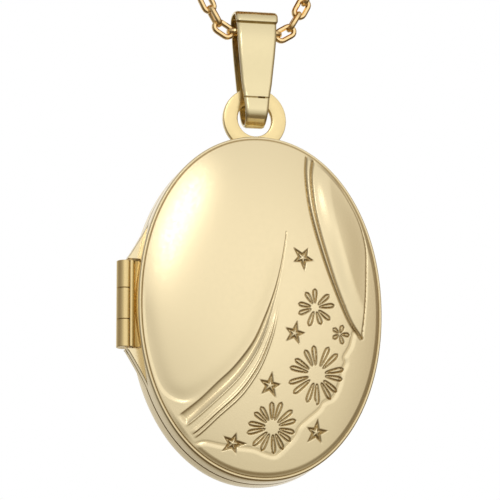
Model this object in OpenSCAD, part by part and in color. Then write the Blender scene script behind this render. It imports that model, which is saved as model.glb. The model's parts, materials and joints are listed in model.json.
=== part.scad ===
// Oval photo locket with a folded bail, hanging from its cable chain.
// Millimetres, +Z up, the engraved front faces -Y. The origin is where the
// coiled chain is hung up: the top of the coil, at the middle of its bundle.

/* [Locket] */
// Width of the rim
locket_w = 20; // [18:0.5:22]
// Height of the rim
locket_h = 28; // [26:0.5:30]
// How much fuller than an ellipse the outline is, 2 is a plain ellipse
fullness = 2.08; // [2:0.02:2.2]
// Depth of each cover's straight rim wall
rim_depth = 1.7; // [1.6:0.05:1.9]
// Rise of the front dome above its rim
front_rise = 1.2; // [0.9:0.1:1.5]
// Rise of the back dome above its rim
back_rise = 1.1; // [0.9:0.1:1.5]
// Sheet thickness of both covers
wall = 0.5; // [0.45:0.05:0.55]

/* [Photo frames] */
// Width of the flat rim that holds each photo
frame_w = 1.1; // [0.8:0.1:1.4]
// Thickness of that rim
frame_t = 0.35; // [0.3:0.05:0.35]
// Thickness of the clear window
window_t = 0.12; // [0.1:0.02:0.14]

/* [Hinge] */
// Outer radius of the knuckles
knuckle_r = 0.7; // [0.65:0.05:0.7]
// Radius of the hinge pin
pin_r = 0.25; // [0.2:0.05:0.3]
// Length of the whole barrel
barrel_l = 7; // [6:0.5:7]
// Length of the middle knuckle
middle_l = 2.5; // [2:0.1:3]
// Length of the wings that lead from the barrel back to the rim
wing_l = 3.1; // [2.6:0.1:3.4]

/* [Loop and bail] */
// Outer radius of the flat ring on the rim
loop_r = 2.6; // [2.5:0.05:2.6]
// Radius of the hole in it
loop_hole_r = 1.42; // [1.4:0.02:1.5]
// Height of the ring's centre above the rim
loop_rise = 1.93; // [1.9:0.01:1.95]
// Thickness of the ring's sheet
loop_t = 0.7; // [0.6:0.05:0.7]
// Depth of the folded bail, front to back
bail_depth = 2.6; // [2.6:0.1:2.8]
// Thickness of the bail's strip
bail_wall = 0.33; // [0.29:0.02:0.33]

/* [Chain] */
// Width of the chain
chain_d = 1.3; // [1.1:0.05:1.3]
// Radius of the coil at the middle of its turns
coil_r = 7; // [6.8:0.1:7.2]
// Thickness of the coil's bundle of turns
bundle_d = 3.9; // [3.7:0.1:4]

/* [Clasp] */
// Radius of the spring ring at the middle of its tube
clasp_r = 1.9; // [1.8:0.05:2]
// Outer radius of its tube
clasp_tube_r = 0.45; // [0.42:0.01:0.46]
// Radius of the sliding bolt
bolt_r = 0.26; // [0.24:0.01:0.26]

/* [Hidden] */
$fn = 48;

GOLD = [0.86, 0.76, 0.48];
CHAIN_GOLD = [0.84, 0.62, 0.30];

// Heights of the main places. The eye is where the chain passes through the bail.
coil_z = -coil_r;
eye_z = coil_z - 12.5;
locket_z = eye_z - 23.16;
rim_top = locket_z + locket_h / 2;
// The loop, the bail and the chain share the plane y = 0; the seam lies in front of it.
locket_y = -0.5;
seam_gap = 0.08;
running_gap = 0.03;

half_w = locket_w / 2;
half_h = locket_h / 2;
sides = 56;
pin_x = -half_w - knuckle_r - 0.05;
knuckle_gap = 0.08;

// The right strand's route from the eye to the side of the coil, over the eye.
STRAND = [[0, 0, 0], [1.5, 0, 0], [2.1, 0, 0.02], [2.65, 0, 0.2], [3.3, 0, 1.15],
          [3.95, 0, 2.35], [4.6, 0.1, 3.6], [5.25, 0.3, 4.87], [5.9, 0.6, 6.13],
          [6.55, 0.85, 7.4], [7.15, 1.05, 8.7], [7.7, 1.15, 10], [8.05, 1.15, 11.3],
          [8.15, 1.15, 12.5]];
tube_sides = 8;

// Half of the bail's front outline: half width and height over the eye.
BAIL_EDGE = [[1.74, 1.7], [1.72, 0.75], [1.62, 0.55], [1.6, -0.5], [1.47, -2.1],
             [1.23, -4.5], [1.05, -5.65], [0.93, -6.8], [0.8, -8.1]];
bail_top = 0.24;
bail_bottom = -6.63;

function bow(c) = sign(c) * pow(abs(c), 2 / fullness);
function oval(inset, count = sides) =
    [for (i = [0:count - 1]) let (t = 360 * i / count)
        [(half_w - inset) * bow(cos(t)), (half_h - inset) * bow(sin(t))]];
// How far the rim reaches sideways at a height from the locket's centre.
function rim_x(z) = half_w * bow(sqrt(1 - pow(abs(z) / half_h, fullness)));

// ---- Shapes that repeat ----

// A closed skin over rings of points, with a point that closes each end.
module skin(rings, first, last) {
    n = len(rings[0]);
    m = len(rings);
    points = concat([first], [for (r = rings) each r], [last]);
    function at(k, j) = 1 + k * n + j % n;
    polyhedron(points, concat(
        [for (j = [0:n - 1]) [0, at(0, j), at(0, j + 1)]],
        [for (k = [0:m - 2], j = [0:n - 1]) [at(k, j), at(k + 1, j), at(k + 1, j + 1)]],
        [for (k = [0:m - 2], j = [0:n - 1]) [at(k, j), at(k + 1, j + 1), at(k, j + 1)]],
        [for (j = [0:n - 1]) [m * n + 1, at(m - 1, j + 1), at(m - 1, j)]]), convexity = 6);
}

// A tube along a route that stays nearly in the XZ plane.
module tube(route) {
    last = len(route) - 1;
    function heading(i) = let (a = route[max(i - 1, 0)], b = route[min(i + 1, last)])
        (b - a) / norm([b.x - a.x, b.z - a.z]);
    skin([for (i = [0:last]) let (d = heading(i), p = route[i])
            [for (j = [0:tube_sides - 1]) let (t = 360 * j / tube_sides, r = chain_d / 2)
                p + r * [-d.z * cos(t), -sin(t), d.x * cos(t)]]],
         route[0], route[last]);
}

// A slab in the locket's frame, between two depths measured from the seam plane.
module slab(front, back) {
    translate([0, locket_y + back, locket_z]) rotate([90, 0, 0])
        linear_extrude(back - front) children();
}

module oval_band(outer, inner) {
    difference() {
        polygon(oval(outer));
        polygon(oval(inner));
    }
}

// A ring of round wire lying in the XZ plane.
module wire_ring(r, wire_r) {
    rotate([90, 0, 0]) rotate_extrude() translate([r, 0]) circle(wire_r, $fn = 24);
}

// ---- Covers ----

// One cover: a domed oval sheet with a straight rim, dome towards -Y.
module cover_shell(rise) {
    DOME = [0.98, 0.9, 0.76, 0.58, 0.38, 0.16];
    soft_edge = 0.15;
    depth = rim_depth - wall;
    function ring(inset, share, y) = [for (p = oval(inset)) [p.x * share, -y, p.y * share]];
    function height(share) = rise * (1 - share * share);
    outside = concat([ring(0, 1, seam_gap / 2), ring(0, 1, rim_depth - soft_edge),
                      ring(soft_edge, 1, rim_depth)],
                     [for (s = DOME) ring(soft_edge, s, rim_depth + height(s))]);
    inside = concat([for (i = [len(DOME) - 1:-1:0]) ring(wall, DOME[i], depth + height(DOME[i]))],
                    [ring(wall, 1, depth), ring(wall, 1, seam_gap / 2)]);
    skin(concat(inside, outside), [0, -depth - rise, 0], [0, -rim_depth - rise, 0]);
}

module front_cover() {
    color(GOLD) translate([0, locket_y, locket_z]) cover_shell(front_rise);
}

module back_cover() {
    color(GOLD) translate([0, locket_y, locket_z]) mirror([0, 1, 0]) cover_shell(back_rise);
}

// The lip on the back cover that the front cover closes over.
module closing_lip() {
    lip_t = 0.3;
    lip_reach = 0.65;
    lip_gap = 0.06;
    color(GOLD) {
        slab(-lip_reach, 0.1) oval_band(wall + lip_gap, wall + lip_t);
        slab(0.1, lip_reach) oval_band(wall, wall + lip_t);
    }
}

// Each photo frame lies just behind the lip's reach, with its window under it.
frame_y = 0.8;

module photo_frame() {
    slab(-frame_y - frame_t, -frame_y) oval_band(wall, wall + frame_w);
}
module photo_window() {
    slab(-frame_y - frame_t - window_t, -frame_y - frame_t) polygon(oval(wall + 0.4));
}
module to_back() {
    translate([0, 2 * locket_y, 0]) mirror([0, 1, 0]) children();
}

module front_photo_frame() { color(GOLD) photo_frame(); }
module front_photo_window() { color([0.9, 0.95, 1, 0.4]) photo_window(); }
module back_photo_frame() { color(GOLD) to_back() photo_frame(); }
module back_photo_window() { color([0.9, 0.95, 1, 0.4]) to_back() photo_window(); }

// ---- Hinge ----

// A knuckle with its leaf: side is -1 on the front cover and 1 on the back one.
module knuckle(low, high, side) {
    leaf_t = 0.55;
    leaf_start = 0.3;
    leaf_end = 1.2;
    translate([pin_x, locket_y, locket_z + low]) difference() {
        union() {
            cylinder(r = knuckle_r, h = high - low);
            translate([leaf_start, side > 0 ? seam_gap / 2 : -seam_gap / 2 - leaf_t, 0])
                cube([leaf_end - leaf_start, leaf_t, high - low]);
        }
        translate([0, 0, -1]) cylinder(r = pin_r + running_gap, h = high - low + 2);
    }
}

module hinge_knuckle_upper() {
    color(GOLD) knuckle(middle_l / 2 + knuckle_gap, barrel_l / 2, 1);
}
module hinge_knuckle_lower() {
    color(GOLD) knuckle(-barrel_l / 2, -middle_l / 2 - knuckle_gap, 1);
}
module hinge_knuckle_middle() {
    color(GOLD) knuckle(-middle_l / 2, middle_l / 2, -1);
}
module hinge_pin() {
    color(GOLD) translate([pin_x, locket_y, locket_z - barrel_l / 2])
        cylinder(r = pin_r, h = barrel_l);
}

// A tapered wing beside the rim, above the barrel: its outer edge curves in to the rim.
module wing(front, back) {
    low = barrel_l / 2 + 0.1;
    reach = -pin_x + 0.05 - rim_x(low);
    inset = 0.15;
    STEPS = [0:0.125:1];
    function height(s) = low + wing_l * s;
    slab(front, back) polygon(concat(
        [for (s = STEPS) [-rim_x(height(s)) - reach * pow(1 - s, 1.5), height(s)]],
        [for (s = STEPS) [-rim_x(height(1 - s)) + inset, height(1 - s)]]));
}
module below() {
    translate([0, 0, 2 * locket_z]) mirror([0, 0, 1]) children();
}
wing_t = 0.75;
module back_wing() { wing(seam_gap / 2, wing_t); }
module front_wing() { wing(-wing_t, -seam_gap / 2); }

module back_wing_upper() { color(GOLD) back_wing(); }
module back_wing_lower() { color(GOLD) below() back_wing(); }
module front_wing_upper() { color(GOLD) front_wing(); }
module front_wing_lower() { color(GOLD) below() front_wing(); }

// ---- Loop and bail ----

module pendant_loop() {
    sunk = 0.4;
    color(GOLD) translate([0, loop_t / 2, rim_top + loop_rise]) rotate([90, 0, 0])
        difference() {
            cylinder(r = loop_r, h = loop_t, $fn = 96);
            translate([0, 0, -1]) cylinder(r = loop_hole_r, h = loop_t + 2, $fn = 96);
            translate([-loop_r, -loop_rise - sunk - loop_r, -1])
                cube([2 * loop_r, loop_r, loop_t + 2]);
        }
}

// Two small beads of solder where the ring meets the rim.
module loop_solder() {
    bead_x = 1.9;
    bead_z = half_h * bow(sqrt(1 - pow(bead_x / half_w, fullness)));
    color(GOLD) for (side = [-1, 1]) translate([side * bead_x, 0.05, locket_z + bead_z])
        sphere(0.4);
}

module bail_side(r) {
    translate([0, bail_top]) circle(r);
    translate([0, bail_bottom]) circle(r);
    translate([-r, bail_bottom]) square([2 * r, bail_top - bail_bottom]);
}

module bail() {
    reach = 2;
    back_edge = [for (i = [len(BAIL_EDGE) - 1:-1:0]) [-BAIL_EDGE[i].x, BAIL_EDGE[i].y]];
    color(GOLD) translate([0, 0, eye_z]) intersection() {
        translate([-reach, 0, 0]) rotate([90, 0, 90]) linear_extrude(2 * reach) difference() {
            bail_side(bail_depth / 2);
            bail_side(bail_depth / 2 - bail_wall);
        }
        translate([0, reach, 0]) rotate([90, 0, 0]) linear_extrude(2 * reach)
            polygon(concat(BAIL_EDGE, back_edge));
    }
}

// ---- Chain ----

module chain_strand() {
    translate([0, 0, eye_z]) tube(STRAND);
}
module chain_right() { color(CHAIN_GOLD) chain_strand(); }
module chain_left() { color(CHAIN_GOLD) rotate([0, 0, 180]) chain_strand(); }

module chain_coil() {
    color(CHAIN_GOLD) translate([0, 0, coil_z]) rotate([90, 0, 0]) rotate_extrude()
        translate([coil_r, 0]) circle(bundle_d / 2);
}

// A band round the coil's bundle, at an angle from the coil's right side.
module coil_tie(angle) {
    tie_w = 1;
    tie_t = 0.25;
    translate([coil_r * cos(angle), 0, coil_z + coil_r * sin(angle)]) rotate([0, -angle, 0])
        translate([0, 0, -tie_w / 2]) difference() {
            cylinder(r = bundle_d / 2 + tie_t, h = tie_w);
            translate([0, 0, -1]) cylinder(r = bundle_d / 2, h = tie_w + 2);
        }
}
module coil_tie_left() { color("white") coil_tie(145); }
module coil_tie_right() { color("white") coil_tie(35); }

// ---- Clasp, hung in the middle of the coil between the chain's two ends ----

clasp_z = coil_z - 0.8;
ring_r = 0.7;
ring_wire = 0.16;
eye_r = 0.5;
eye_wire = 0.15;
clasp_eye_z = clasp_z + clasp_r + clasp_tube_r + eye_r;
jump_z = clasp_eye_z + eye_r + ring_r - eye_wire - ring_wire - 0.03;
end_r = 0.85;
end_wire = 0.18;
end_z = clasp_z - clasp_r - 0.12;
coil_inside = coil_r - bundle_d / 2;

// Angles round the spring ring, from its right side towards its top.
MOUTH = [-50, 5];
SLOT = [20, 80];
lever_angle = 24;
bolt_reach = 4;
bolt_tail = 34;
bore_r = bolt_r + 0.04;

module arc(from, to) {
    rotate([90, 0, 0]) rotate([0, 0, from]) rotate_extrude(angle = to - from) children();
}

module clasp_jump_ring() {
    color(CHAIN_GOLD) translate([0, 0, jump_z]) rotate([0, 0, 90]) wire_ring(ring_r, ring_wire);
}
module chain_end_ring() {
    color(CHAIN_GOLD) translate([0, 0, end_z]) rotate([0, 0, 90]) wire_ring(end_r, end_wire);
}
module chain_tail_upper() {
    top = coil_z + coil_inside;
    low = jump_z + ring_r;
    color(CHAIN_GOLD) translate([0, 0, low]) cylinder(d = chain_d, h = top - low);
}
module chain_tail_lower() {
    top = end_z - end_r;
    low = coil_z - coil_inside;
    color(CHAIN_GOLD) translate([0, 0, low]) cylinder(d = chain_d, h = top - low);
}

module clasp_body() {
    slot_half = 0.16;
    color(CHAIN_GOLD) {
        translate([0, 0, clasp_z]) difference() {
            arc(MOUTH[1], 360 + MOUTH[0]) translate([clasp_r, 0]) circle(clasp_tube_r, $fn = 32);
            arc(MOUTH[1] - 1, 150) translate([clasp_r, 0]) circle(bore_r, $fn = 32);
            arc(MOUTH[0] - 2 * bolt_reach, MOUTH[0] + 1)
                translate([clasp_r, 0]) circle(bore_r, $fn = 32);
            arc(SLOT[0], SLOT[1]) translate([clasp_r, -slot_half]) square([1, 2 * slot_half]);
        }
        translate([0, 0, clasp_eye_z]) wire_ring(eye_r, eye_wire);
    }
}

module clasp_bolt() {
    lever_r = 0.11;
    lever_l = 0.85;
    color(CHAIN_GOLD) translate([0, 0, clasp_z]) {
        arc(MOUTH[0] - bolt_reach, bolt_tail) translate([clasp_r, 0]) circle(bolt_r, $fn = 32);
        rotate([0, -lever_angle, 0]) translate([clasp_r, 0, 0]) rotate([0, 90, 0])
            cylinder(r = lever_r, h = lever_l);
        rotate([0, -lever_angle, 0]) translate([clasp_r + lever_l, 0, 0]) sphere(0.2);
    }
}

// The bolt's spring, pushed together at the blind end of the tube's bore.
module clasp_spring() {
    color("silver") translate([0, 0, clasp_z]) arc(92, 148) translate([clasp_r, 0]) difference() {
        circle(bolt_r, $fn = 32);
        circle(bolt_r - 0.1, $fn = 32);
    }
}

chain_left();
chain_right();
chain_coil();
coil_tie_left();
coil_tie_right();
chain_tail_upper();
chain_tail_lower();
chain_end_ring();
clasp_jump_ring();
clasp_body();
clasp_spring();
clasp_bolt();
bail();
back_cover();
closing_lip();
back_photo_frame();
back_photo_window();
pendant_loop();
loop_solder();
hinge_knuckle_upper();
hinge_knuckle_lower();
back_wing_upper();
back_wing_lower();
hinge_pin();
front_cover();
front_photo_frame();
front_photo_window();
hinge_knuckle_middle();
front_wing_upper();
front_wing_lower();
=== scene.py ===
"""A gold oval photo locket on its cable chain: the looks, built around the CAD frame."""
import json
import math

import bmesh
import bpy
import numpy as np
from mathutils import Matrix, Vector


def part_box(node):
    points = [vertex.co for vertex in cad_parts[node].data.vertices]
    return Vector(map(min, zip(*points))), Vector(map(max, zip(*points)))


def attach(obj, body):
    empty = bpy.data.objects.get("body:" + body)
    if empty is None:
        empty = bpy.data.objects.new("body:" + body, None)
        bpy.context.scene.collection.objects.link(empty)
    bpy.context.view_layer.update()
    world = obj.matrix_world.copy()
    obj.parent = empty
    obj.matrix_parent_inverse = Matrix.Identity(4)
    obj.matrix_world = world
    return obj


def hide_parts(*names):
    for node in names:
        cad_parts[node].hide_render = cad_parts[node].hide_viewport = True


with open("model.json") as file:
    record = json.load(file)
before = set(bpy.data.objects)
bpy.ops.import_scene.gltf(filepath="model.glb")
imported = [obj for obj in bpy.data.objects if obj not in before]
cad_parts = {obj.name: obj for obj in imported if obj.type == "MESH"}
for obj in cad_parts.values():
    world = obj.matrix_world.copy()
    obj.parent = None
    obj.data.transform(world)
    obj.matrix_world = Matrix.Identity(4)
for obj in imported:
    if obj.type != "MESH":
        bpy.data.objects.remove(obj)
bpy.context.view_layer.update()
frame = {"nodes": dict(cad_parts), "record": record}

MM = 0.001
TAU = 2 * math.pi

# ---- Places, read from the frame, in millimetres ----


def box_mm(node):
    low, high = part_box(node)
    return np.array(low) / MM, np.array(high) / MM


FRONT_LOW, FRONT_HIGH = box_mm("front_cover")
BACK_LOW = box_mm("back_cover")[0]
LIP_HIGH = box_mm("closing_lip")[1]
HALF_W = (FRONT_HIGH[0] - FRONT_LOW[0]) / 2
HALF_H = (FRONT_HIGH[2] - FRONT_LOW[2]) / 2
SEAM_Y = (FRONT_HIGH[1] + BACK_LOW[1]) / 2
SEAM_GAP = BACK_LOW[1] - FRONT_HIGH[1]
LOCKET_Z = (FRONT_HIGH[2] + FRONT_LOW[2]) / 2
WALL = FRONT_HIGH[0] - LIP_HIGH[0]
JOINTS = {j["name"]: j for j in frame["record"]["behaviour"]["joints"]}
EYE_Z = JOINTS["bail_swing"]["pos_m"][2] / MM
PIN_X, PIN_Y, PIN_Z = (v / MM for v in JOINTS["cover_hinge"]["pos_m"])
COIL_LOW, COIL_HIGH = box_mm("chain_coil")
COIL_Z = (COIL_LOW[2] + COIL_HIGH[2]) / 2

# The outline's fullness and the rim's depth, as in the part's source.
FULLNESS = 2.08
RIM_DEPTH = 1.7
BACK_RISE = 1.1
# The front's dome, a little lower than the part's to leave room for what stands on it.
FRONT_DOME = 1.05

# ---- Camera: below the locket and to its left, held upright ----

CAMERA_YAW = math.radians(14.5)
CAMERA_PITCH = math.radians(13.2)
CAMERA_DISTANCE = 400.0
FRAME_WIDTH = 39.85
AIM_LEFT = 0.46
AIM_UP = 4.92


def make_camera():
    ahead = Vector((math.sin(CAMERA_YAW) * math.cos(CAMERA_PITCH),
                    math.cos(CAMERA_YAW) * math.cos(CAMERA_PITCH), math.sin(CAMERA_PITCH)))
    right = Vector((math.cos(CAMERA_YAW), -math.sin(CAMERA_YAW), 0))
    up = right.cross(ahead)
    aim = Vector((0, SEAM_Y, LOCKET_Z)) - AIM_LEFT * right + AIM_UP * up
    data = bpy.data.cameras.new("camera")
    data.sensor_width = 36
    data.lens = data.sensor_width * CAMERA_DISTANCE / FRAME_WIDTH
    data.clip_start = 0.01
    data.clip_end = 10
    camera = bpy.data.objects.new("camera", data)
    camera.location = (aim - CAMERA_DISTANCE * ahead) * MM
    camera.rotation_mode = "QUATERNION"
    camera.rotation_quaternion = ahead.to_track_quat("-Z", "Y")
    bpy.context.collection.objects.link(camera)
    bpy.context.scene.camera = camera


make_camera()

# ---- Mesh helpers: every builder works in millimetres ----


def piece(name, verts, faces, material, sharp=35):
    """A new object from points in millimetres, smooth except at edges over sharp degrees."""
    mesh = bpy.data.meshes.new(name)
    mesh.from_pydata((np.asarray(verts, float) * MM).tolist(), [], [list(f) for f in faces])
    mesh.validate()
    work = bmesh.new()
    work.from_mesh(mesh)
    bmesh.ops.recalc_face_normals(work, faces=work.faces)
    work.to_mesh(mesh)
    work.free()
    mesh.shade_smooth()
    mesh.set_sharp_from_angle(angle=math.radians(sharp))
    made = bpy.data.objects.new(name, mesh)
    made.data.materials.append(material)
    bpy.context.collection.objects.link(made)
    return made


def rows_of_quads(rows, columns, flip=False, closed=False):
    """Faces between successive rings of points; closed joins the last ring to the first."""
    faces = []
    for i in range(rows if closed else rows - 1):
        here = i * columns
        after = (i + 1) % rows * columns
        for j in range(columns):
            k = (j + 1) % columns
            quad = (here + j, here + k, after + k, after + j)
            faces.append(quad[::-1] if flip else quad)
    return faces


def lathe(profile, centre, axis, count):
    """A closed ring: a closed profile of (radius, along) turned about an axis letter."""
    order = {"x": (1, 2, 0), "y": (2, 0, 1), "z": (0, 1, 2)}[axis]
    points = []
    for i in range(count):
        t = TAU * i / count
        for r, along in profile:
            local = (r * math.cos(t), r * math.sin(t), along)
            point = [0.0, 0.0, 0.0]
            for k in range(3):
                point[order[k]] = local[k]
            points.append(np.add(point, centre))
    return points, rows_of_quads(count, len(profile), closed=True)


def smooth_route(points, step):
    """A Catmull-Rom curve through points, resampled at an even step."""
    p = np.asarray(points, float)
    p = np.vstack([2 * p[0] - p[1], p, 2 * p[-1] - p[-2]])
    fine = []
    for i in range(1, len(p) - 2):
        for t in np.linspace(0, 1, 12, endpoint=False):
            fine.append(0.5 * (2 * p[i] + (p[i + 1] - p[i - 1]) * t
                               + (2 * p[i - 1] - 5 * p[i] + 4 * p[i + 1] - p[i + 2]) * t ** 2
                               + (3 * p[i] - p[i - 1] - 3 * p[i + 1] + p[i + 2]) * t ** 3))
    fine.append(p[-2])
    fine = np.array(fine)
    along = np.concatenate([[0], np.cumsum(np.linalg.norm(np.diff(fine, axis=0), axis=1))])
    count = int(round(along[-1] / step))
    even = np.linspace(0, along[-1], count + 1)
    return np.stack([np.interp(even, along, fine[:, k]) for k in range(3)], axis=1), along[-1]


def smoothstep(low, high, x):
    t = np.clip((x - low) / (high - low), 0, 1)
    return t * t * (3 - 2 * t)


# ---- Materials ----


def new_material(name):
    material = bpy.data.materials.new(name)
    material.use_nodes = True
    return material, material.node_tree, material.node_tree.nodes["Principled BSDF"]


def node(tree, kind, **inputs):
    made = tree.nodes.new(kind)
    for key, value in inputs.items():
        made.inputs[key.replace("_", " ")].default_value = value
    return made


# How far the roughness strays, how dark the painted shade along cut lines is, and the grain's height
# in metres.
WEAR = 0.02
PAINTED_SHADE_STRENGTH = 0.85
GRAIN_HEIGHT = 0.000008
# How strong the long scratches are beside the fine grain.
SCRATCHES = 0.3


def gold(name, colour, deep, rough, grain):
    """Gold with a fine satin grain, faint scratches, and painted shade in its hollows and along its
    cut lines, in the colour deep.
    """
    material, tree, shader = new_material(name)
    link = tree.links.new
    place = tree.nodes.new("ShaderNodeTexCoord")
    clouds = node(tree, "ShaderNodeTexNoise", Scale=2500.0, Detail=3.0)
    fine = node(tree, "ShaderNodeTexNoise", Scale=9000.0, Detail=2.0)
    stretch = tree.nodes.new("ShaderNodeMapping")
    stretch.inputs["Scale"].default_value = (1.0, 1.0, 9.0)
    stretch.inputs["Rotation"].default_value = (0.0, 0.5, 0.3)
    lines = node(tree, "ShaderNodeTexNoise", Scale=2600.0, Detail=4.0)
    link(place.outputs["Object"], clouds.inputs["Vector"])
    link(place.outputs["Object"], fine.inputs["Vector"])
    link(place.outputs["Object"], stretch.inputs["Vector"])
    link(stretch.outputs["Vector"], lines.inputs["Vector"])
    worn = node(tree, "ShaderNodeMapRange")
    worn.inputs["From Min"].default_value = 0.35
    worn.inputs["From Max"].default_value = 0.65
    worn.inputs["To Min"].default_value = rough - WEAR
    worn.inputs["To Max"].default_value = rough + WEAR
    link(clouds.outputs["Fac"], worn.inputs["Value"])
    link(worn.outputs["Result"], shader.inputs["Roughness"])
    # Painted shade: hollows, where the mesh is concave, turn towards the dark colour.
    geometry = tree.nodes.new("ShaderNodeNewGeometry")
    edge = tree.nodes.new("ShaderNodeMapRange")
    edge.inputs["From Min"].default_value = 0.38
    edge.inputs["From Max"].default_value = 0.50
    link(geometry.outputs["Pointiness"], edge.inputs["Value"])
    # Painted shade: points marked on the mesh, at cut lines, creases and seams, turn darker too.
    cut = tree.nodes.new("ShaderNodeAttribute")
    cut.attribute_name = "engraved"
    clear = tree.nodes.new("ShaderNodeMath")
    clear.operation = "MULTIPLY_ADD"
    clear.inputs[1].default_value = -PAINTED_SHADE_STRENGTH
    clear.inputs[2].default_value = 1.0
    link(cut.outputs["Fac"], clear.inputs[0])
    unshaded_share = tree.nodes.new("ShaderNodeMath")
    unshaded_share.operation = "MULTIPLY"
    link(clear.outputs["Value"], unshaded_share.inputs[0])
    link(edge.outputs["Result"], unshaded_share.inputs[1])
    tint = tree.nodes.new("ShaderNodeMix")
    tint.data_type = "RGBA"
    tint.inputs["A"].default_value = (*deep, 1)
    tint.inputs["B"].default_value = (*colour, 1)
    link(unshaded_share.outputs["Value"], tint.inputs["Factor"])
    link(tint.outputs["Result"], shader.inputs["Base Color"])
    total = node(tree, "ShaderNodeMath")
    total.operation = "MULTIPLY_ADD"
    total.inputs[1].default_value = SCRATCHES
    link(lines.outputs["Fac"], total.inputs[0])
    link(fine.outputs["Fac"], total.inputs[2])
    bump = node(tree, "ShaderNodeBump", Strength=grain, Distance=GRAIN_HEIGHT)
    link(total.outputs["Value"], bump.inputs["Height"])
    link(bump.outputs["Normal"], shader.inputs["Normal"])
    shader.inputs["Metallic"].default_value = 1.0
    return material


# The second colour of each gold is painted shade, for its hollows and cut lines.
PALE = (0.88, 0.745, 0.47)
PALE_SHADE = (0.36, 0.235, 0.075)
LOCKET_GOLD = gold("locket_gold", PALE, PALE_SHADE, 0.21, grain=0.4)
INNER_GOLD = gold("inner_gold", (0.84, 0.68, 0.38), PALE_SHADE, 0.16, grain=0.25)
BAIL_GOLD = gold("bail_gold", (0.85, 0.73, 0.44), (0.35, 0.24, 0.08), 0.20, grain=0.5)
LOOP_GOLD = gold("loop_gold", (0.93, 0.75, 0.39), (0.42, 0.24, 0.06), 0.24, grain=0.6)
HINGE_GOLD = gold("hinge_gold", (0.80, 0.62, 0.30), (0.28, 0.17, 0.05), 0.22, grain=0.5)
CHAIN_GOLD = gold("chain_gold", (0.95, 0.70, 0.35), (0.38, 0.16, 0.03), 0.15, grain=0.15)


def clear_window():
    material, tree, shader = new_material("clear_window")
    noise = node(tree, "ShaderNodeTexNoise", Scale=700.0, Detail=2.0)
    place = tree.nodes.new("ShaderNodeTexCoord")
    tree.links.new(place.outputs["Object"], noise.inputs["Vector"])
    haze = node(tree, "ShaderNodeMapRange")
    haze.inputs["To Min"].default_value = 0.03
    haze.inputs["To Max"].default_value = 0.12
    tree.links.new(noise.outputs["Fac"], haze.inputs["Value"])
    tree.links.new(haze.outputs["Result"], shader.inputs["Roughness"])
    shader.inputs["Base Color"].default_value = (0.93, 0.95, 0.96, 1)
    shader.inputs["Alpha"].default_value = 0.22
    shader.inputs["IOR"].default_value = 1.49
    return material


def tie_material():
    material, tree, shader = new_material("tie_white")
    place = tree.nodes.new("ShaderNodeTexCoord")
    wave = node(tree, "ShaderNodeTexWave", Scale=2200.0, Distortion=1.5)
    tree.links.new(place.outputs["Object"], wave.inputs["Vector"])
    bump = node(tree, "ShaderNodeBump", Strength=0.3, Distance=0.00002)
    tree.links.new(wave.outputs["Fac"], bump.inputs["Height"])
    tree.links.new(bump.outputs["Normal"], shader.inputs["Normal"])
    tint = tree.nodes.new("ShaderNodeMix")
    tint.data_type = "RGBA"
    tint.inputs["A"].default_value = (0.78, 0.77, 0.73, 1)
    tint.inputs["B"].default_value = (0.90, 0.90, 0.87, 1)
    tree.links.new(wave.outputs["Fac"], tint.inputs["Factor"])
    tree.links.new(tint.outputs["Result"], shader.inputs["Base Color"])
    shader.inputs["Roughness"].default_value = 0.5
    return material


WINDOW = clear_window()
TIE = tie_material()

# ---- Chain: alternate links along each strand, then round the coil ----

LINK_PITCH = 1.3
LINK_LENGTH = 2.05
LINK_WIDTH = 1.3
LINK_WIRE = 0.45
COIL_R = 7.0
TURN_GAP = 1.15
LINK_SIDES = 8
# A link's direction is taken over this much of the route, each way.
HALF_REACH = 0.5
# No link's middle comes closer than this to the route's end.
END_GAP = 0.3
ROUTE_STEP = 0.1
# The right strand's route over the eye, as in the part's source.
STRAND = [(0, 0, 0), (1.5, 0, 0), (2.1, 0, 0.02), (2.65, 0, 0.2), (3.3, 0, 1.15),
          (3.95, 0, 2.35), (4.6, 0.1, 3.6), (5.25, 0.3, 4.87), (5.9, 0.6, 6.13),
          (6.55, 0.85, 7.4), (7.15, 1.05, 8.7), (7.7, 1.15, 10), (8.05, 1.15, 11.3),
          (8.15, 1.15, 12.5)]
# The end that leaves the coil for the clasp: x, y and height over the coil's centre.
TAIL = [(2.3, 0, 4.75), (1.5, 0, 4.95), (0.8, 0, 4.85), (0.25, 0, 4.45), (0, 0, 3.9), (0, 0, 3.75)]
# Which place in the bundle each turn takes: steps outwards and steps along Y.
RIGHT_TURNS = [(1, 1), (1, 0), (0, 0), (0, 1), (-1, 1), (-1.75, 0)]
LEFT_TURNS = [(1, -1), (0, -1), (-1, -1), (-1, 0)]
RIGHT_TURN_COUNT = 5.25
LEFT_TURN_COUNT = 3.75
POINTS_PER_TURN = 24


def coil_points(start, way, turns, places):
    """Points round the coil: each turn has its own place in the bundle and eases to the next."""
    points = []
    for i in range(1, int(turns * POINTS_PER_TURN) + 1):
        done = i / POINTS_PER_TURN
        index = min(int(done), len(places) - 1)
        after = min(index + 1, len(places) - 1)
        ease = float(smoothstep(0.8, 1.0, done - index))
        out = places[index][0] * (1 - ease) + places[after][0] * ease
        across = places[index][1] * (1 - ease) + places[after][1] * ease
        angle = start + way * TAU * done
        r = COIL_R + TURN_GAP * out
        points.append((r * math.cos(angle), TURN_GAP * across, COIL_Z + r * math.sin(angle)))
    return points


def strand_points(side):
    return [(side * x, side * y, EYE_Z + z) for x, y, z in STRAND]


def tail_points(up):
    return [(x, y, COIL_Z + up * z) for x, y, z in TAIL]


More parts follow.
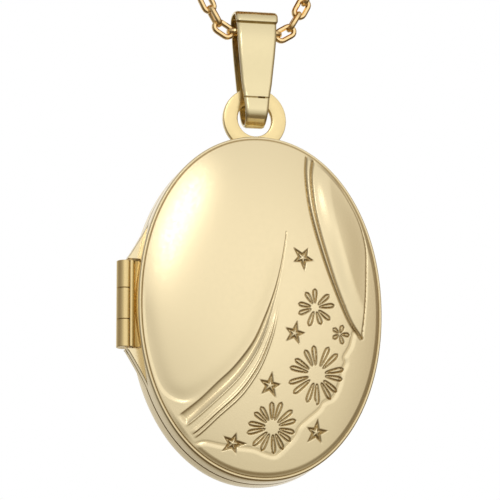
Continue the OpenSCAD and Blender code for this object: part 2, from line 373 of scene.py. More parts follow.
def link_shape():
    """One link in its own axes: x along the chain, y across the link, z through it."""
    bend = (LINK_WIDTH - LINK_WIRE) / 2
    straight = (LINK_LENGTH - LINK_WIDTH) / 2
    line = [(side * straight + bend * math.cos(t), bend * math.sin(t), math.cos(t), math.sin(t))
            for side, base in ((1, -math.pi / 2), (-1, math.pi / 2))
            for t in (base + math.pi * k / 8 for k in range(9))]
    verts = []
    for x, y, out_x, out_y in line:
        for k in range(LINK_SIDES):
            t = TAU * (k + 0.5) / LINK_SIDES
            out, through = LINK_WIRE / 2 * math.cos(t), LINK_WIRE / 2 * math.sin(t)
            verts.append((x + out * out_x, y + out * out_y, 1.08 * through))
    return np.array(verts), rows_of_quads(len(line), LINK_SIDES, closed=True)


def make_chain(name, points, first):
    """A chain of alternate links along a route, whose first link is the one numbered first."""
    route, length = smooth_route(points, ROUTE_STEP)
    along = np.linspace(0, length, len(route))
    shape, shape_faces = link_shape()
    verts, faces = [], []
    number = first

    def spot(distance):
        return np.array([np.interp(distance, along, route[:, k]) for k in range(3)])
    while number * LINK_PITCH < length - END_GAP:
        s = number * LINK_PITCH
        centre = spot(s)
        ahead = spot(min(s + HALF_REACH, length))
        behind = spot(max(s - HALF_REACH, 0))
        tangent = (ahead - behind) / np.linalg.norm(ahead - behind)
        depth = np.array([0.0, 1.0, 0.0]) - tangent[1] * tangent
        depth /= np.linalg.norm(depth)
        across = np.cross(depth, tangent)
        flat = number % 2 == 0
        axes = np.array([tangent, across, depth] if flat else [tangent, depth, across])
        base = len(verts) * len(shape)
        verts.append(shape @ axes + centre)
        faces.extend([tuple(base + i for i in f) for f in shape_faces])
        number += 1
    made = piece(name, np.concatenate(verts), faces, CHAIN_GOLD, sharp=30)
    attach(made, "chain")
    return made, route, length


def make_chains():
    right = coil_points(0, 1, RIGHT_TURN_COUNT, RIGHT_TURNS)
    left = coil_points(math.pi, -1, LEFT_TURN_COUNT, LEFT_TURNS)
    # The coil's last two points give way to the tail, which bends off earlier.
    right = strand_points(1) + right[:-2] + tail_points(1)
    left = strand_points(-1) + left[:-2] + tail_points(-1)
    for name, points, first, far_end, with_pieces in (
            ("cable_chain_right", right, 0, "connector",
             ["clasp_jump_ring", "clasp_body", "clasp_bolt", "clasp_spring"]),
            ("cable_chain_left", left, 1, "fitting", ["chain_end_ring"])):
        made, route, length = make_chain(name, points, first)
    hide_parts("chain_right", "chain_coil", "chain_tail_upper")
    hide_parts("chain_left", "chain_tail_lower")


make_chains()


def make_tie(name, cad_node, degrees):
    """A soft band, rounded square in section, that holds the bundle of turns."""
    half, corner, thick, wide = 1.85, 0.75, 0.18, 1.0
    angle = math.radians(degrees)
    outward = np.array([math.cos(angle), 0, math.sin(angle)])
    along = np.array([-math.sin(angle), 0, math.cos(angle)])
    depth = np.array([0.0, 1.0, 0.0])
    centre = np.array([0, 0, COIL_Z]) + COIL_R * outward
    path = []
    for quarter in range(4):
        mid = math.pi / 2 * quarter + math.pi / 4
        cx = (half - corner) * math.copysign(1, math.cos(mid))
        cy = (half - corner) * math.copysign(1, math.sin(mid))
        for k in range(9):
            t = math.pi / 2 * quarter + math.pi / 2 * k / 8
            path.append((cx + corner * math.cos(t), cy + corner * math.sin(t),
                         math.cos(t), math.sin(t)))
    bevel = 0.06
    section = [(0, -wide / 2), (thick - bevel, -wide / 2), (thick, -wide / 2 + bevel),
               (thick + 0.02, 0), (thick, wide / 2 - bevel), (thick - bevel, wide / 2),
               (0, wide / 2)]
    verts = [centre + (x + out * ox) * outward + (y + out * oy) * depth + w * along
             for x, y, ox, oy in path for out, w in section]
    quads = rows_of_quads(len(path), len(section), closed=True)
    made = piece(name, verts, [(a, d, c, b) for a, b, c, d in quads], TIE)
    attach(made, "chain")
    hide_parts(cad_node)


make_tie("band_left", "coil_tie_left", 145)
make_tie("band_right", "coil_tie_right", 35)

# ---- Covers ----

DETAIL = ((440, 610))
BACK_DETAIL = (90, 126)
# How a dome falls off from its middle to its edge.
DOME_POWER = 2.5
# How far in from the outline a dome starts.
DOME_EDGE = 0.3
# The small step up at the dome's foot, and how much lower its inner side and the back are.
SKIN = 0.02


def outline(u, v, inset):
    """Points of the unit disc, moved onto the locket's fuller oval."""
    rho = np.hypot(u, v)
    at = np.arctan2(v, u)
    full = (np.abs(np.cos(at)) ** FULLNESS + np.abs(np.sin(at)) ** FULLNESS) ** (-1 / FULLNESS)
    return (HALF_W - inset) * u * full, (HALF_H - inset) * v * full, rho


def disc_grid(columns, rows):
    """A square grid bent onto the unit disc, and its border's indexes in order."""
    x, y = np.meshgrid(np.linspace(-1, 1, columns + 1), np.linspace(-1, 1, rows + 1))
    u = x * np.sqrt(1 - y * y / 2)
    v = y * np.sqrt(1 - x * x / 2)
    index = np.arange(u.size).reshape(u.shape)
    border = np.concatenate([index[0, :-1], index[:-1, -1], index[-1, :0:-1], index[:0:-1, 0]])
    return u.ravel(), v.ravel(), index, border


def cover_mesh(rise, relief, detail):
    """Points and faces of one cover, with depth measured forwards from the seam plane."""
    u, v, index, border = disc_grid(*detail)
    x, z, rho = outline(u, v, DOME_EDGE)
    raised, line = relief(x, z)
    height = RIM_DEPTH + SKIN + rise * (1 - rho ** DOME_POWER)
    height = height + raised * smoothstep(1.0, 0.97, rho)
    points = [np.stack([x, height, z], axis=1)]
    # Painted shade: the design's lines, and a dark sliver where the face meets the rim.
    painted_shade = [np.maximum(line * smoothstep(1.0, 0.99, rho), 0.8 * smoothstep(0.992, 1.0, rho))]
    a, b, c, d = (s.ravel() for s in (index[:-1, :-1], index[:-1, 1:], index[1:, 1:], index[1:, :-1]))
    faces = np.stack([a, b, c, d], axis=1).tolist()
    ring_u, ring_v = u[border], v[border]
    # Each ring round the rim: how far in from the outline, its depth, and how much painted shade it
    # takes, dark at the face's edge and in the seam.
    rim = [(0.27, RIM_DEPTH - 0.05, 1), (0.22, RIM_DEPTH - 0.05, 0.6),
           (0.14, RIM_DEPTH - 0.02, 0), (0.07, RIM_DEPTH - 0.05, 0),
           (0.02, RIM_DEPTH - 0.13, 0), (0, RIM_DEPTH - 0.25, 0), (0, RIM_DEPTH * 0.5, 0),
           (0, SEAM_GAP / 2 + 0.14, 0), (0, SEAM_GAP / 2 + 0.08, 0.5),
           (0.05, SEAM_GAP / 2, 1), (WALL, SEAM_GAP / 2, 0.5),
           (WALL, RIM_DEPTH - WALL - 0.15, 0), (WALL + 0.12, RIM_DEPTH - WALL, 0)]
    rings = [(1, inset, depth, dark) for inset, depth, dark in rim]
    # Then the dome's inner side, from the rim to the middle.
    for share in (0.97, 0.9, 0.8, 0.68, 0.54, 0.4, 0.26, 0.12, 0.03):
        depth = RIM_DEPTH - WALL + (rise - SKIN) * (1 - share ** DOME_POWER)
        rings.append((share, WALL + 0.12, depth, 0))
    previous = border
    count = index.size
    for share, inset, depth, dark in rings:
        painted_shade.append(np.full(len(border), float(dark)))
        rx, rz, _ = outline(ring_u * share, ring_v * share, inset)
        points.append(np.stack([rx, np.full_like(rx, depth), rz], axis=1))
        current = count + np.arange(len(border))
        count += len(border)
        faces += np.stack([previous, current, np.roll(current, -1), np.roll(previous, -1)],
                          axis=1).tolist()
        previous = current
    points.append(np.array([[0, RIM_DEPTH - WALL + rise - SKIN, 0]]))
    faces += [(int(p), count, int(q)) for p, q in zip(previous, np.roll(previous, -1))]
    painted_shade.append(np.zeros(1))
    return np.concatenate(points), faces, np.concatenate(painted_shade)


# ---- The front's design, in millimetres from the locket's centre, right and up ----

PANEL_EDGE = [(-10.2, 1.5), (-9.8, -0.6), (-9.3, -2.8), (-8.8, -4.8), (-8.2, -6.5), (-7.5, -7.4),
              (-6.5, -7.8), (-5.6, -7.6), (-4.7, -7.1), (-3.8, -6.4), (-2.4, -5.0), (-1.0, -3.1),
              (-0.1, -1.2), (0.7, 0.9), (1.25, 2.9), (1.65, 5.0), (1.8, 6.0)]
SWOOSH_LEFT = [(1.8, 6.0), (1.65, 5.0), (1.25, 2.9), (0.7, 0.9), (-0.1, -1.2), (-1.0, -3.1),
               (-2.4, -5.0), (-3.8, -6.4), (-5.2, -7.8), (-6.9, -9.2)]
SWOOSH_RIGHT = [(2.05, 6.0), (1.95, 4.5), (1.75, 2.9), (1.4, 0.9), (0.95, -1.6), (0.5, -3.2),
                (-0.15, -4.9), (-1.0, -6.4), (-2.0, -7.7), (-3.6, -9.2), (-4.6, -10.2),
                (-5.5, -11.0)]
LEAF_LEFT = [(4.4, 12.6), (4.1, 11.0), (4.2, 8.8), (4.6, 6.6), (5.3, 4.1), (6.1, 1.7),
             (7.2, -0.8), (8.2, -2.2)]
LEAF_RIGHT = [(4.4, 12.6), (6.0, 11.0), (7.2, 9.1), (8.1, 7.3), (8.6, 5.2), (8.6, 3.0),
              (8.5, 0.8), (8.2, -2.2)]
BORDER = [(3.8, 13.1), (3.6, 11.1), (3.75, 8.8), (4.2, 6.6), (4.95, 4.1), (5.85, 1.7),
          (7.0, -0.8), (8.1, -2.3)]
FIELD_EDGE = [(5.2, 12.8), (6.2, 8.0), (7.0, 3.0), (7.8, -1.2), (7.5, -1.8), (7.2, -2.9),
              (6.7, -3.8), (6.8, -4.3), (6.5, -5.0), (6.3, -6.0), (5.8, -7.1), (5.0, -7.6),
              (4.6, -8.2), (3.7, -9.0), (3.0, -9.7), (2.6, -10.5), (1.9, -11.3), (1.1, -12.0),
              (0.2, -11.9), (-0.7, -11.6), (-1.9, -11.5), (-3.3, -11.4), (-4.7, -11.2),
              (-5.7, -11.6), (-7.5, -12.5)]
# Each star: place, size and turn.
STARS = [(3.2, 4.0, 0.70, 0.5), (2.5, -2.2, 0.66, 0.2), (0.5, -6.5, 0.72, 0.15),
         (-2.4, -11.2, 0.70, 0.3), (4.4, -10.0, 0.70, 0.1)]
# Each flower: place, the petals' inner and outer ends, and how many petals.
FLOWERS = [(4.2, 0.0, 0.42, 1.6, 9), (4.35, -5.4, 0.8, 2.45, 14), (0.75, -9.8, 0.65, 2.1, 14),
           (6.3, -2.0, 0.16, 0.78, 5)]
STAR_LINE = 0.075
PETAL_LINE = 0.06
CURVE_STEP = 0.15


def curve2(points):
    flat = smooth_route([(x, 0, z) for x, z in points], CURVE_STEP)[0]
    return flat[:, [0, 2]]


def to_curve(x, z, curve):
    """Distance to a curve, positive on its left as it runs, and how far along it, 0 to 1."""
    best = np.full(x.shape, 1e9)
    side = np.zeros(x.shape)
    where = np.zeros(x.shape)
    for i in range(len(curve) - 1):
        (ax, az), (bx, bz) = curve[i], curve[i + 1]
        dx, dz = bx - ax, bz - az
        t = np.clip(((x - ax) * dx + (z - az) * dz) / (dx * dx + dz * dz), 0, 1)
        px, pz = x - ax - t * dx, z - az - t * dz
        far = px * px + pz * pz
        closer = far < best
        best = np.where(closer, far, best)
        side = np.where(closer, np.sign(pz * dx - px * dz), side)
        where = np.where(closer, (i + t) / (len(curve) - 1), where)
    return np.sqrt(best) * np.where(side == 0, 1, side), where


def bell(d, width):
    return np.exp(-(d / width) ** 2)


def star_cut(x, z, cx, cz, size, turn):
    """A five-pointed star, as height and line: its outline is cut in, its arms stand up; the line is
    painted shade along the cut.
    """
    dx, dz = x - cx, z - cz
    r = np.hypot(dx, dz)
    near = r < size * 1.6
    t = (np.arctan2(dx, dz) - turn) % TAU
    arm = np.round(t / (TAU / 5)) % 5
    t = t % (TAU / 5)
    t = np.minimum(t, TAU / 5 - t)
    inner = 0.40 * size
    ix, iz = inner * math.sin(math.pi / 5), inner * math.cos(math.pi / 5)
    px, pz = r * np.sin(t), r * np.cos(t)
    tip = size * (1 + 0.13 * np.sin(2.7 * arm + 3 * cx))
    ez = iz - tip
    signed = ((pz - tip) * ix - px * ez) / np.hypot(ix, ez)
    signed = np.where(near, signed, 9)
    line = bell(signed, STAR_LINE)
    return -0.11 * line + 0.06 * smoothstep(-0.05, -0.3, signed), 0.85 * line


def petal_cut(x, z, cx, cz, inner, outer, count):
    """A ring of slim, uneven petals, as height and line: each is a closed loop cut in, and the line
    is painted shade along it.
    """
    dx, dz = x - cx, z - cz
    r = np.hypot(dx, dz)
    step = TAU / count
    turned = np.arctan2(dx, dz) + 0.3
    petal = np.floor(turned / step)
    t = turned % step - step * (0.5 + 0.1 * np.sin(3.1 * petal + cx))
    outer = outer * (1 - 0.08 * (1 + np.sin(5.3 * petal)))
    across = np.abs(r * np.sin(t))
    along = (r * np.cos(t) - inner) / (outer - inner)
    wide = min(0.19, 0.55 * inner * math.sin(step / 2) + 0.10)
    body = wide * np.sqrt(np.clip(along, 0, 1)) * np.sqrt(np.clip(1 - along ** 6, 0, 1)) + 1e-4
    beyond = np.maximum(np.maximum(-along, along - 1), 0) * (outer - inner)
    off = np.where(beyond > 0, np.hypot(beyond, across), np.abs(across - body))
    line = bell(off, PETAL_LINE)
    return -0.09 * line, 0.65 * line


def panel_relief(x, z):
    """The big panel's edge: it rolls down into a fine crease, and a border stands outside it."""
    inside, place = to_curve(x, z, curve2(PANEL_EDGE))
    lower_left = smoothstep(-5.0, -6.6, x) * smoothstep(2.5, -2.0, z)
    roll = -0.07 * bell(np.minimum(inside, 0) / 2 + np.maximum(inside, 0), 0.7)
    border = 0.06 * lower_left * smoothstep(0.0, -0.4, inside)
    return smoothstep(0.0, 0.12, place) * smoothstep(1.0, 0.85, place) * roll + border


def swoosh_relief(x, z):
    """A broad cove along the panel, a fine ridge and two ribs, which all meet at the tip; with
    painted shade over the cove and along the groove between the ribs.
    """
    from_left, place = to_curve(x, z, curve2(SWOOSH_LEFT))
    from_right, _ = to_curve(x, z, curve2(SWOOSH_RIGHT))
    width = np.abs(from_left) + np.abs(from_right)
    across = np.clip(from_left / np.maximum(width, 1e-6), 0, 1)
    within = smoothstep(-0.05, 0.05, from_left) * smoothstep(0.05, -0.05, from_right)
    size = 0.3 + 0.7 * smoothstep(0.1, 0.6, place)
    hollow = np.sin(np.pi * np.clip(across / 0.44, 0, 1) ** 0.8)
    ribs = 0.05 * bell(across - 0.46, 0.035)
    ribs += 0.07 * smoothstep(0.66, 0.81, across) * smoothstep(0.845, 0.825, across)
    ribs += 0.07 * smoothstep(0.855, 0.95, across) * smoothstep(1.0, 0.975, across)
    split = smoothstep(0.25, 0.5, place)
    end = smoothstep(1.0, 0.97, place)
    line = 0.9 * bell(across - 0.845, 0.02) * split + 0.3 * hollow
    return within * size * (ribs * split - 0.13 * hollow) * end, line * within * size * end


def leaf_relief(x, z):
    """A swelling leaf with a rib along its left side: height, painted shade along its crease lines,
    and where it is.
    """
    left, _ = to_curve(x, z, curve2(LEAF_LEFT))
    right, _ = to_curve(x, z, curve2(LEAF_RIGHT))
    border, _ = to_curve(x, z, curve2(BORDER))
    leaf = (left > 0) & (right < 0)
    rib = (border > 0) & (left <= 0) & (z > -2.3)
    share = np.abs(left) / np.maximum(np.abs(left) + np.abs(border), 1e-6)
    swell = 0.32 * smoothstep(0, 1.6, left) * (0.6 + 0.4 * smoothstep(0, 2.4, -right))
    height = np.where(leaf, swell, 0)
    height = np.where(rib, 0.10 * np.sin(np.pi * share), height)
    ends = smoothstep(13.0, 12.4, z) * smoothstep(-2.5, -2.1, z)
    dark = (0.75 * bell(left, 0.08) + 0.7 * bell(border, 0.06)) * ends
    line = (0.10 * bell(left, 0.10) + 0.07 * bell(border, 0.08) + 0.05 * bell(right, 0.08)) * ends
    return height - line, dark, leaf | rib


def engraving(x, z):
    """The front's whole design over its dome: how high it stands, and the painted shade along its
    lines and steps.
    """
    field, place = to_curve(x, z, curve2(FIELD_EDGE))
    base = 0.07 * smoothstep(-0.15, 0.35, field) - 0.02 * bell(field + 0.1, 0.10)
    # Painted shade along the step at the field's edge.
    painted_shade = 0.55 * bell(field + 0.06, 0.05) * smoothstep(0.98, 0.9, place)
    leaf, dark, in_leaf = leaf_relief(x, z)
    height = np.where(in_leaf, 0, base) + leaf
    painted_shade = np.where(in_leaf, 0, painted_shade) + dark
    height += panel_relief(x, z)
    for cut, line in ([swoosh_relief(x, z)] + [star_cut(x, z, *star) for star in STARS]
                      + [petal_cut(x, z, *flower) for flower in FLOWERS]):
        height = height + cut
        painted_shade = painted_shade + line
    return height, np.clip(painted_shade, 0, 1)


def plain(x, z):
    """No relief and no lines, for the back."""
    return 0 * x, 0 * z


def place_piece(made, body, slot, *cad_nodes):
    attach(made, body)
    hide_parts(*cad_nodes)


def make_cover(name, body, cad_node, forward, rise, relief, detail):
    points, faces, painted_shade = cover_mesh(rise, relief, detail)
    points = points * (1, forward, 1) + (0, SEAM_Y, LOCKET_Z)
    if forward > 0:
        faces = [f[::-1] for f in faces]
    made = piece(name, points, faces, LOCKET_GOLD, sharp=50)
    # Painted shade, stored per point: the design's lines, the face's edge and the seam.
    layer = made.data.attributes.new("engraved", "FLOAT", "POINT")
    layer.data.foreach_set("value", painted_shade.astype(np.float32))
    place_piece(made, body, "locket_gold", cad_node)


make_cover("front_shell", "front_cover", "front_cover", -1, FRONT_DOME, engraving, DETAIL)
make_cover("back_shell", "locket_back", "back_cover", 1, BACK_RISE - SKIN, plain, BACK_DETAIL)


def oval_ring(section, forward):
    """A ring swept round the oval: section lists how far in, and how deep from the seam."""
    count = 200
    t = TAU * np.arange(count) / count
    points = []
    for inset, depth in section:
        x, z, _ = outline(np.cos(t), np.sin(t), inset)
        points.append(np.stack([x, np.full(count, forward * depth), z], axis=1))
    faces = rows_of_quads(len(section), count, flip=forward < 0, closed=True)
    return np.concatenate(points) + (0, SEAM_Y, LOCKET_Z), faces


# The photo frame's moulding, from its outer edge inwards: how far in past the wall, and depth.
FRAME_DEPTH = 0.8
FRAME_SECTION = [(0.01, 0.34), (0.01, 0.06), (0.06, 0.01), (0.25, 0.01), (0.32, 0.06),
                 (0.40, 0.06), (0.47, 0.02), (0.62, 0.0), (0.78, 0.03), (0.86, 0.10),
                 (0.93, 0.10), (1.02, 0.13), (1.09, 0.20), (1.09, 0.34)]


def make_photo_frame(name, body, cad_node, forward):
    section = [(WALL + inset, FRAME_DEPTH + depth) for inset, depth in FRAME_SECTION]
    points, faces = oval_ring(section, forward)
    made = piece(name, points, faces, INNER_GOLD)
    place_piece(made, body, "locket_gold", cad_node)


make_photo_frame("front_frame_moulding", "front_cover", "front_photo_frame", -1)
make_photo_frame("back_frame_moulding", "locket_back", "back_photo_frame", 1)

# ---- Hinge ----

BARREL_R = 0.64
BORE_R = 0.28
BARREL_SIDES = 48
ROD_LOW, ROD_HIGH = box_mm("hinge_pin")
MIDDLE_LOW, MIDDLE_HIGH = box_mm("hinge_knuckle_middle")
# The leaf beside the barrel, seen along the pin: out from the pin, and forwards.
LEAF_OUTLINE = [(0.75, 0.05), (0.62, 0.30), (0.30, 0.61), (0.34, 0.67), (0.46, 0.69),
                (0.58, 0.66), (0.68, 0.58), (0.76, 0.46), (1.1, 0.40), (1.1, 0.05)]


def prism(outline2d, low, high, bevel, to_3d):
    """A slab with softened edges: an outline, the two levels it spans and how to place it."""
    flat = np.asarray(outline2d, float)
    before, after = np.roll(flat, 1, axis=0), np.roll(flat, -1, axis=0)
    area = np.sum(flat[:, 0] * after[:, 1] - after[:, 0] * flat[:, 1])
    tangent = (after - before) * (1 if area > 0 else -1)
    normal = np.stack([-tangent[:, 1], tangent[:, 0]], axis=1)
    normal /= np.linalg.norm(normal, axis=1)[:, None]
    inner = flat + bevel * normal
    rings = [(inner, low), (flat, low + bevel), (flat, high - bevel), (inner, high)]
    points = [to_3d(a, b, level) for ring, level in rings for a, b in ring]
    n = len(flat)
    faces = rows_of_quads(4, n)
    faces += [tuple(range(n))[::-1], tuple(range(3 * n, 4 * n))]
    return points, faces


def barrel(low, high):
    soft = 0.03
    profile = [(BORE_R, low), (BARREL_R - soft, low), (BARREL_R, low + soft),
               (BARREL_R, high - soft), (BARREL_R - soft, high), (BORE_R, high)]
    return lathe(profile, (PIN_X, PIN_Y, 0), "z", BARREL_SIDES)


def joined(*parts):
    verts, faces = [], []
    for part_verts, part_faces in parts:
        base = len(verts)
        verts.extend(list(v) for v in part_verts)
        faces.extend([tuple(base + i for i in f) for f in part_faces])
    return verts, faces


def leaf_strip(low, high, forward):
    def place(a, b, level):
        return (PIN_X + a, PIN_Y + forward * b, level)
    return prism(LEAF_OUTLINE, low, high, 0.03, place)


def make_hinge():
    bottom, top = ROD_LOW[2], ROD_HIGH[2]
    gap = 0.03
    middle = joined(barrel(MIDDLE_LOW[2], MIDDLE_HIGH[2]), leaf_strip(bottom, top, -1))
    made = piece("knuckle_middle_leaf", *middle, HINGE_GOLD)
    place_piece(made, "front_cover", "locket_gold", "hinge_knuckle_middle")
    upper = joined(barrel(MIDDLE_HIGH[2] + gap, top), leaf_strip(PIN_Z, top, 1))
    made = piece("knuckle_upper_leaf", *upper, HINGE_GOLD)
    place_piece(made, "locket_back", "locket_gold", "hinge_knuckle_upper")
    lower = joined(barrel(bottom, MIDDLE_LOW[2] - gap), leaf_strip(bottom, PIN_Z, 1))
    made = piece("knuckle_lower_leaf", *lower, HINGE_GOLD)
    place_piece(made, "locket_back", "locket_gold", "hinge_knuckle_lower")


make_hinge()


def rim_x(height):
    return HALF_W * (1 - abs(height / HALF_H) ** FULLNESS) ** (1 / FULLNESS)


def make_wing(name, body, cad_node, up, forward):
    """A tapered wing between the barrel and the rim, whose outer edge curves in."""
    low, high = box_mm(cad_node)
    start = (low[2] if up > 0 else high[2]) - LOCKET_Z
    length = high[2] - low[2]
    reach = -low[0] - rim_x(start) - 0.15
    steps = np.linspace(0, 1, 15)
    heights = [start + up * length * t for t in steps]
    outer = [(-rim_x(h) - reach * (1 - t) ** 1.5, h) for t, h in zip(steps, heights)]
    inner = [(-rim_x(h) + 0.15, h) for h in heights]
    depth = min(abs(low[1] - SEAM_Y), abs(high[1] - SEAM_Y)), 0.62

    def place(a, b, level):
        return (a, SEAM_Y + forward * level, LOCKET_Z + b)
    points, faces = prism(outer + inner[::-1], depth[0], depth[1], 0.05, place)
    made = piece(name, points, faces, LOCKET_GOLD)
    place_piece(made, body, "locket_gold", cad_node)


make_wing("wing_front_high", "front_cover", "front_wing_upper", 1, -1)
make_wing("wing_front_low", "front_cover", "front_wing_lower", -1, -1)
make_wing("wing_back_high", "locket_back", "back_wing_upper", 1, 1)
make_wing("wing_back_low", "locket_back", "back_wing_lower", -1, 1)

# ---- Loop on the rim, and its solder ----

RIM_TOP = LOCKET_Z + HALF_H
LOOP_LOW, LOOP_HIGH = box_mm("pendant_loop")
LOOP_R = (LOOP_HIGH[0] - LOOP_LOW[0]) / 2
LOOP_HOLE_R = 1.42
LOOP_SIDES = 128
# How deep the loop's foot is sunk in the rim, and how much is taken off each of its sides.
LOOP_SUNK = 0.4
LOOP_THINNED = 0.06


def make_loop():
    thick = (LOOP_HIGH[1] - LOOP_LOW[1]) / 2 - LOOP_THINNED
    profile = [(LOOP_HOLE_R, -thick + 0.1), (LOOP_HOLE_R + 0.05, -thick + 0.02),
               (LOOP_HOLE_R + 0.13, -thick), (LOOP_R - 0.13, -thick),
               (LOOP_R - 0.05, -thick + 0.02), (LOOP_R, -thick + 0.1), (LOOP_R, thick - 0.1),
               (LOOP_R - 0.05, thick - 0.02), (LOOP_R - 0.13, thick),
               (LOOP_HOLE_R + 0.13, thick), (LOOP_HOLE_R + 0.05, thick - 0.02),
               (LOOP_HOLE_R, thick - 0.1)]
    points, faces = lathe(profile, (0, 0, LOOP_HIGH[2] - LOOP_R), "y", LOOP_SIDES)
    points = np.array(points)
    points[:, 2] = np.maximum(points[:, 2], RIM_TOP - LOOP_SUNK)
    made = piece("loop_washer", points, faces, LOOP_GOLD)
    place_piece(made, "locket_back", "locket_gold", "pendant_loop")


def bead(centre, radii, wobble):
    """A lump of solder: a ball drawn out and a little uneven."""
    rows, columns = 14, 24
    points = []
    for i in range(rows):
        lift = math.pi * (i + 0.5) / rows
        for j in range(columns):
            t = TAU * j / columns
            r = 1 + wobble * math.sin(3 * t + 1.3) * math.sin(lift)
            points.append((centre[0] + radii[0] * r * math.sin(lift) * math.cos(t),
                           centre[1] + radii[1] * r * math.sin(lift) * math.sin(t),
                           centre[2] + radii[2] * math.cos(lift)))
    faces = rows_of_quads(rows, columns, flip=True)
    last = (rows - 1) * columns
    faces += [tuple(range(columns)), tuple(range(last, last + columns))[::-1]]
    return points, faces


def make_solder():
    low, high = box_mm("loop_solder")
    height = (low[2] + high[2]) / 2
    left = bead((low[0] + 0.4, -0.12, height - 0.02), (0.38, 0.42, 0.33), 0.06)
    right = bead((high[0] - 0.4, 0.0, height - 0.1), (0.38, 0.34, 0.26), 0.05)
    made = piece("solder_beads", *joined(left, right), LOOP_GOLD)
    place_piece(made, "locket_back", "locket_gold", "loop_solder")


make_loop()
make_solder()

# ---- Bail: a folded, tapered strip with softened edges ----

# Its edge, as in the part's source: half its width, and height over the eye.
BAIL_EDGE = [(1.74, 1.7), (1.72, 0.75), (1.62, 0.55), (1.6, -0.5), (1.47, -2.1), (1.23, -4.5),
             (1.05, -5.65), (0.93, -6.8), (0.8, -8.1)]
BAIL_R = 1.3
# How square the fold is: 2 would be round.
FOLD_POWER = 2.7
BAIL_TOP = 0.4
BAIL_BOTTOM = -6.63
BAIL_WALL = 0.26
# It hangs a little turned on the chain, its front to the left.
BAIL_TURN = math.radians(-3)
# Heights over the eye, of the crease under the fold and the seam where the strip ends.
CREASE = 0.62
SEAM = -5.65


def bail_route():
    """The strip's outer side as (y, height): over the fold, down the front, round, and up."""
    top = []
    for t in np.linspace(0, math.pi, 110)[:-1]:
        c, w = math.cos(t), math.sin(t)
        r = BAIL_R * (abs(c) ** FOLD_POWER + abs(w) ** FOLD_POWER) ** (-1 / FOLD_POWER)
        top.append((r * c, BAIL_TOP + r * w))
    near_seam = SEAM + np.linspace(-0.14, 0.14, 15)
    heights = np.unique(np.concatenate([np.linspace(BAIL_BOTTOM, BAIL_TOP, 70), near_seam]))
    front = [(-BAIL_R, h) for h in heights[::-1][:-1]]
    bottom = [(-BAIL_R * math.cos(t), BAIL_BOTTOM - BAIL_R * math.sin(t))
              for t in np.linspace(0, math.pi, 50)[:-1]]
    back = [(BAIL_R, h) for h in np.linspace(BAIL_BOTTOM, BAIL_TOP, 40)[:-1]]
    return np.array(top + front + bottom + back)


def bail_relief(y, height, x):
    """How far the strip's outer side stands in from the route."""
    if y > -0.2:
        return 0.0
    under = float(smoothstep(CREASE + 0.05, CREASE - 0.05, height))
    low = 0.05 * bell(height - CREASE, 0.05) + 0.05 * bell(height - SEAM, 0.045)
    low += 0.2 * under * max(0.0, (height + 1.4) / (CREASE + 1.4)) ** 2
    low += 0.08 * float(smoothstep(-1.4, -4.8, height)) * float(smoothstep(-6.6, -5.2, height))
    low += 0.04 * float(smoothstep(SEAM + 0.04, SEAM - 0.04, height))
    if 0.12 < x < 0.62 and abs(height - SEAM) < 0.07:
        low += 0.16
    return low


def make_bail():
    route = bail_route()
    ahead = np.roll(route, -1, axis=0) - np.roll(route, 1, axis=0)
    outward = np.stack([ahead[:, 1], -ahead[:, 0]], axis=1)
    outward /= np.linalg.norm(outward, axis=1)[:, None]
    shares = np.linspace(-1, 1, 19)
    points, dark = [], []
    for (y, height), (ny, nz) in zip(route, outward):
        half = float(np.interp(-height, [-h for _, h in BAIL_EDGE], [w for w, _ in BAIL_EDGE]))
        flat = half - 0.20
        section = [(-half + 0.03, -BAIL_WALL), (-half, -0.2), (-half, -0.12),
                   (-half + 0.04, -0.07)]
        section += [(flat * share, 0.0) for share in shares]
        section += [(half - 0.04, -0.07), (half, -0.12), (half, -0.2), (half - 0.03, -BAIL_WALL)]
        section += [(flat * share, -BAIL_WALL) for share in shares[::-3]]
        for x, out in section:
            outer = out > -0.13
            out -= bail_relief(y, height, x if outer else 0.0)
            points.append((x, y + ny * out, EYE_Z + height + nz * out))
            # Painted shade on the outer side: dark along the crease under the fold and along the
            # seam, darkest in the slot.
            slot = 0.12 < x < 0.62 and abs(height - SEAM) < 0.075
            line = 0.8 * bell(height - CREASE, 0.04) + 0.35 * bell(height - SEAM, 0.03)
            dark.append(float(outer and y < -0.2) * (1.0 if slot else line))
    faces = rows_of_quads(len(route), len(section), closed=True)
    turn = np.array([[math.cos(BAIL_TURN), -math.sin(BAIL_TURN), 0],
                     [math.sin(BAIL_TURN), math.cos(BAIL_TURN), 0], [0, 0, 1]])
    made = piece("bail_strip", np.array(points) @ turn.T, faces, BAIL_GOLD, sharp=28)
    layer = made.data.attributes.new("engraved", "FLOAT", "POINT")
    layer.data.foreach_set("value", np.array(dark, dtype=np.float32))
    place_piece(made, "bail", "bail_gold", "bail")


make_bail()

# ---- CAD nodes whose shape stays: a better finish for each ----

FINISHES = {
    "closing_lip": INNER_GOLD, "hinge_pin": HINGE_GOLD,
    "front_photo_window": WINDOW, "back_photo_window": WINDOW,
    "chain_end_ring": CHAIN_GOLD, "clasp_jump_ring": CHAIN_GOLD, "clasp_body": CHAIN_GOLD,
    "clasp_bolt": CHAIN_GOLD, "clasp_spring": INNER_GOLD}


def finish_cad_nodes():
    for name, material in FINISHES.items():
        made = frame["nodes"][name]
        for slot in made.material_slots:
            slot.material = material
        made.data.shade_smooth()
        made.data.set_sharp_from_angle(angle=math.radians(30))


finish_cad_nodes()

# ---- Stage ----


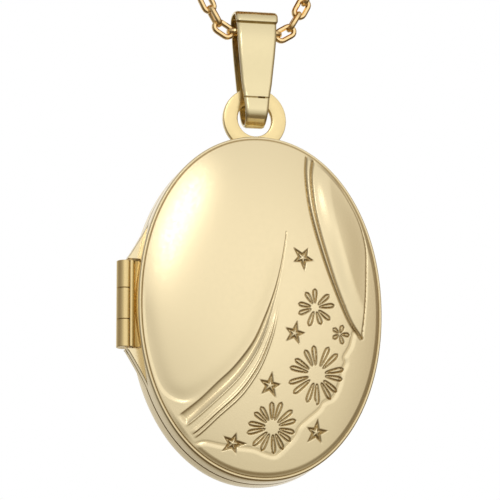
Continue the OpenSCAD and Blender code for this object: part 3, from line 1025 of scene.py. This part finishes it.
def make_light(name, toward, long_axis, far, size, power):
    """A soft light a distance away in a direction, turned to the locket's middle."""
    middle = Vector((0, SEAM_Y, LOCKET_Z))
    away = Vector(toward).normalized()
    side = (Vector(long_axis) - Vector(long_axis).dot(away) * away).normalized()
    data = bpy.data.lights.new(name, "AREA")
    data.shape = "RECTANGLE"
    data.size = size[0] * MM
    data.size_y = size[1] * MM
    data.energy = power
    made = bpy.data.objects.new(name, data)
    turn = Matrix((side, away.cross(side), away)).transposed().to_4x4()
    made.matrix_world = Matrix.Translation((middle + far * away) * MM) @ turn
    made.visible_camera = False
    bpy.context.collection.objects.link(made)


# The studio that the gold reflects, by height: from straight below to straight above.
STUDIO_HEIGHT = [(0.00, (0.14, 0.10, 0.06)), (0.22, (0.24, 0.19, 0.12)),
                 (0.36, (0.62, 0.60, 0.55)), (0.50, (0.84, 0.83, 0.81)),
                 (0.63, (1.06, 1.05, 1.04)), (0.74, (0.90, 0.89, 0.88)),
                 (1.00, (0.62, 0.60, 0.58))]
# And by side: darker at both ends, which draws the object's edges.
STUDIO_SIDE = [(0.0, (0.30, 0.27, 0.24)), (0.16, (0.55, 0.54, 0.52)), (0.30, (0.82, 0.81, 0.80)),
               (0.50, (0.97, 0.97, 0.97)), (0.62, (1.06, 1.06, 1.06)),
               (0.76, (0.98, 0.97, 0.95)), (0.90, (0.45, 0.40, 0.33)), (1.0, (0.25, 0.20, 0.14))]


def studio_ramp(tree, value, stops):
    half = tree.nodes.new("ShaderNodeMapRange")
    half.inputs["From Min"].default_value = -1
    tree.links.new(value, half.inputs["Value"])
    ramp = tree.nodes.new("ShaderNodeValToRGB")
    for at, _ in stops[1:-1]:
        ramp.color_ramp.elements.new(at)
    for element, (at, colour) in zip(ramp.color_ramp.elements, stops):
        element.position = at
        element.color = (*colour, 1)
    tree.links.new(half.outputs["Result"], ramp.inputs["Fac"])
    return ramp.outputs["Color"]


def make_world():
    """White to the eye; softly graded where the gold reflects it."""
    world = bpy.data.worlds.new("studio")
    world.use_nodes = True
    bpy.context.scene.world = world
    tree = world.node_tree
    seen = tree.nodes["Background"]
    seen.inputs["Color"].default_value = (1, 1, 1, 1)
    lit = tree.nodes.new("ShaderNodeBackground")
    mix = tree.nodes.new("ShaderNodeMixShader")
    path = tree.nodes.new("ShaderNodeLightPath")
    place = tree.nodes.new("ShaderNodeTexCoord")
    split = tree.nodes.new("ShaderNodeSeparateXYZ")
    both = tree.nodes.new("ShaderNodeMix")
    both.data_type = "RGBA"
    both.blend_type = "MULTIPLY"
    both.inputs["Factor"].default_value = 1.0
    tree.links.new(place.outputs["Generated"], split.inputs["Vector"])
    tree.links.new(studio_ramp(tree, split.outputs["Z"], STUDIO_HEIGHT), both.inputs["A"])
    tree.links.new(studio_ramp(tree, split.outputs["X"], STUDIO_SIDE), both.inputs["B"])
    tree.links.new(both.outputs["Result"], lit.inputs["Color"])
    tree.links.new(path.outputs["Is Glossy Ray"], mix.inputs["Fac"])
    tree.links.new(seen.outputs["Background"], mix.inputs[1])
    tree.links.new(lit.outputs["Background"], mix.inputs[2])
    tree.links.new(mix.outputs["Shader"], tree.nodes["World Output"].inputs["Surface"])


def make_floor():
    material, tree, shader = new_material("pale_floor")
    place = tree.nodes.new("ShaderNodeTexCoord")
    mottle = node(tree, "ShaderNodeTexNoise", Scale=40.0, Detail=3.0)
    rough = node(tree, "ShaderNodeMapRange")
    rough.inputs["To Min"].default_value = 0.85
    rough.inputs["To Max"].default_value = 0.95
    tree.links.new(place.outputs["Object"], mottle.inputs["Vector"])
    tree.links.new(mottle.outputs["Fac"], rough.inputs["Value"])
    tree.links.new(rough.outputs["Result"], shader.inputs["Roughness"])
    shader.inputs["Base Color"].default_value = (0.93, 0.93, 0.92, 1)
    half = 3000.0
    low = -260.0
    corners = [(-half, -half, low), (half, -half, low), (half, half, low), (-half, half, low)]
    floor = piece("floor", corners, [(0, 1, 2, 3)], material)
    floor.visible_glossy = False


make_world()
make_floor()
STRIP_TOWARD = (-0.11, -0.90, 0.41)
STRIP_AXIS = (0.166, 0.0, 0.19)
STRIP_SIZE = (85, 18)
STRIP_POWER = 0.022
make_light("strip_upper_left", STRIP_TOWARD, STRIP_AXIS, 300, STRIP_SIZE, STRIP_POWER)
bpy.context.scene.view_settings.view_transform = "Standard"
